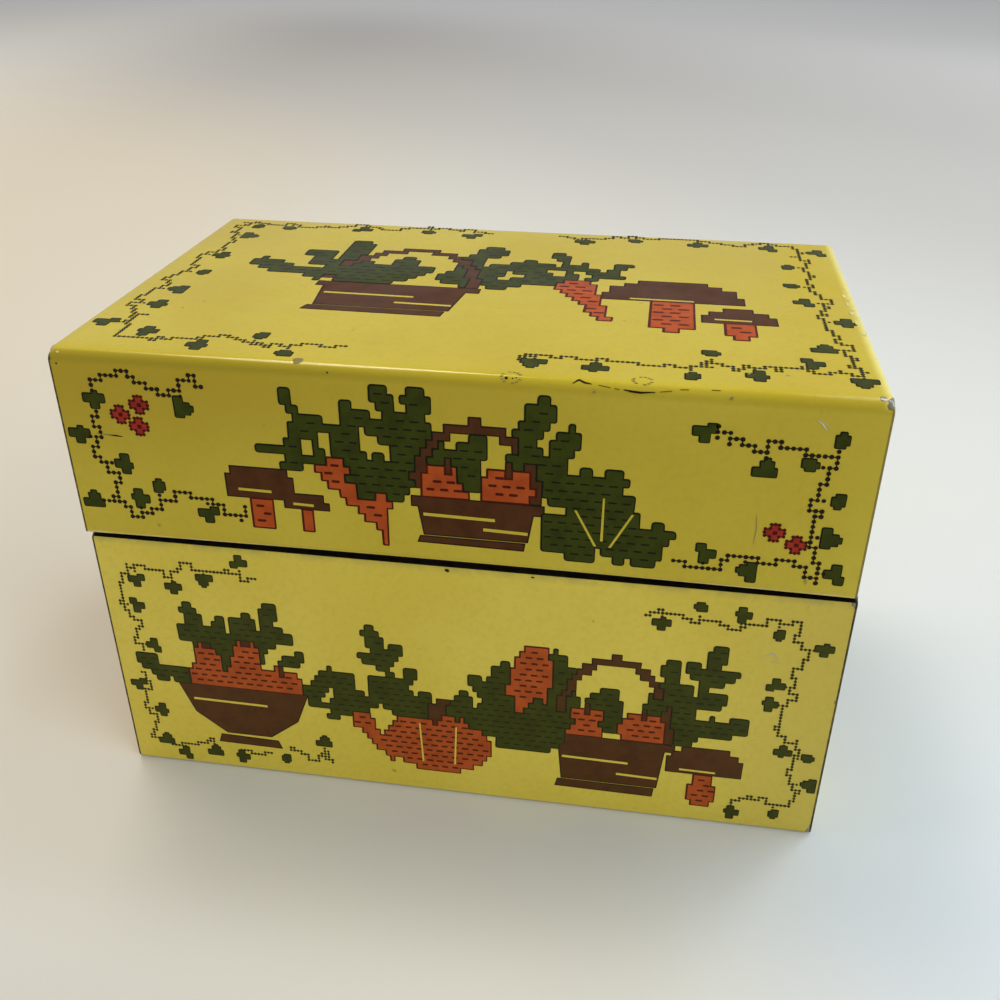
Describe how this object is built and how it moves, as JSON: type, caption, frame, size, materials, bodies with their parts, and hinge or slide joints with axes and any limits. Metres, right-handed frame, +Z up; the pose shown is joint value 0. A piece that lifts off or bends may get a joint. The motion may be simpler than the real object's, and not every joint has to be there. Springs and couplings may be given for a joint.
{
  "type": "recipe card box",
  "caption": "Rectangular printed tinplate box for index cards, with a stepped neck and a deep lid on a full-width wire hinge.",
  "frame": {"origin": "middle of the underside of the base, which is the resting face", "axes": "+X to the right along the front, +Y from the front face to the hinged back, +Z up"},
  "size_m": [0.1343, 0.084, 0.0887],
  "materials": {
    "printed_tin": "gloss",
    "steel_wire": "drawn"
  },
  "bodies": {
    "base": {"base_wrapper": "printed_tin", "base_left_end": "printed_tin", "base_right_end": "printed_tin", "hinge_pin": "steel_wire"},
    "lid": {"lid_wrapper": "printed_tin", "lid_left_end": "printed_tin", "lid_right_end": "printed_tin"}
  },
  "joints": [
    {"name": "lid_hinge", "type": "hinge", "parent": "base", "child": "lid", "pos_m": [0, 0.04085, 0.0534], "axis": [-1, 0, 0], "range_deg": [0, 106]}
  ]
}
